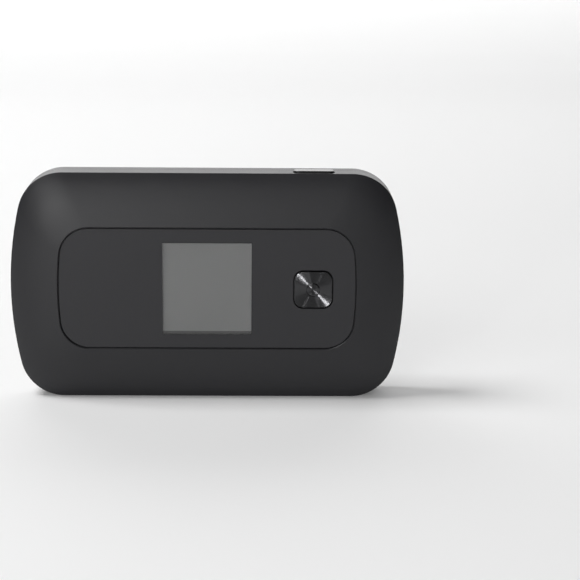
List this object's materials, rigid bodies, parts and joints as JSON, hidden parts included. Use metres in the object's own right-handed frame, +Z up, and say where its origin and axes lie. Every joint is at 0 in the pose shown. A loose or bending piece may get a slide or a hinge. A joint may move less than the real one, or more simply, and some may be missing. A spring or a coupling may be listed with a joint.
{
  "type": "mobile hotspot",
  "caption": "Pillow-fronted black mobile hotspot with a square display window, a spun-metal menu button, a power button on top, a lift-off back cover, and the battery and electronics inside.",
  "frame": {"origin": "under the middle of the hotspot, on the surface its lower long edge stands on", "axes": "+X to the right as the display is faced, +Y from the front to the back, +Z up"},
  "size_m": [0.112, 0.0154, 0.0655],
  "materials": {
    "cover_black": "satin",
    "panel_black": "satin",
    "window_clear": "gloss",
    "screen_grey": "satin",
    "screen_glass": "gloss",
    "spun_metal": "spun",
    "button_black": "satin",
    "chassis_black": "matte",
    "adhesive": "matte",
    "foam_black": "matte",
    "tray_white": "satin",
    "flex_amber": "satin",
    "board_green": "satin",
    "shield_steel": "satin",
    "screw_steel": "satin",
    "socket_steel": "satin",
    "socket_black": "satin",
    "chip_black": "matte",
    "pad_grey": "matte",
    "gold": "polished",
    "card_white": "satin",
    "cell_silver": "satin",
    "cap_black": "satin",
    "label_white": "satin",
    "label_silver": "satin",
    "dot_white": "matte"
  },
  "bodies": {
    "root": {"front_cover": "cover_black", "front_panel": "panel_black", "panel_tape": "adhesive", "display_window": "window_clear", "display_gasket": "foam_black", "lcd_polariser": "screen_grey", "lcd_glass": "screen_glass", "lcd_backlight": "tray_white", "lcd_flex": "flex_amber", "lcd_connector": "socket_black", "main_board": "board_green", "modem_shield": "shield_steel", "processor_shield": "shield_steel", "wifi_shield": "shield_steel", "modem_pad": "pad_grey", "menu_switch": "socket_steel", "power_switch": "socket_steel", "reset_switch": "socket_steel", "charger_chip": "chip_black", "usb_shell": "socket_steel", "usb_tongue": "socket_black", "sim_socket": "socket_steel", "sim_card": "card_white", "battery_connector": "socket_black", "battery_springs": "gold", "mid_frame": "chassis_black", "bay_label": "label_white", "moisture_dot": "dot_white", "battery_cell": "cell_silver", "battery_end_cap": "cap_black", "battery_pads": "gold", "battery_wrap": "label_silver", "main_antenna": "flex_amber", "diversity_antenna": "flex_amber", "wifi_antenna_left": "flex_amber", "wifi_antenna_right": "flex_amber", "board_screws": "screw_steel", "frame_screws": "screw_steel"},
    "menu_button": {"menu_button_face": "spun_metal", "menu_button_cap": "button_black"},
    "power_button": {"power_button_cap": "button_black"},
    "back_cover": {"back_cover": "cover_black"}
  },
  "joints": [
    {"name": "menu_button_press", "type": "slide", "parent": "root", "child": "menu_button", "axis": [0, 1, 0], "range_m": [0, 0.0004], "stiffness_N_per_m": 500},
    {"name": "power_button_press", "type": "slide", "parent": "root", "child": "power_button", "axis": [0, 0, -1], "range_m": [0, 0.00035], "stiffness_N_per_m": 500},
    {"name": "back_cover_lift", "type": "slide", "parent": "root", "child": "back_cover", "axis": [0, 1, 0], "range_m": [0, 0.03]}
  ]
}
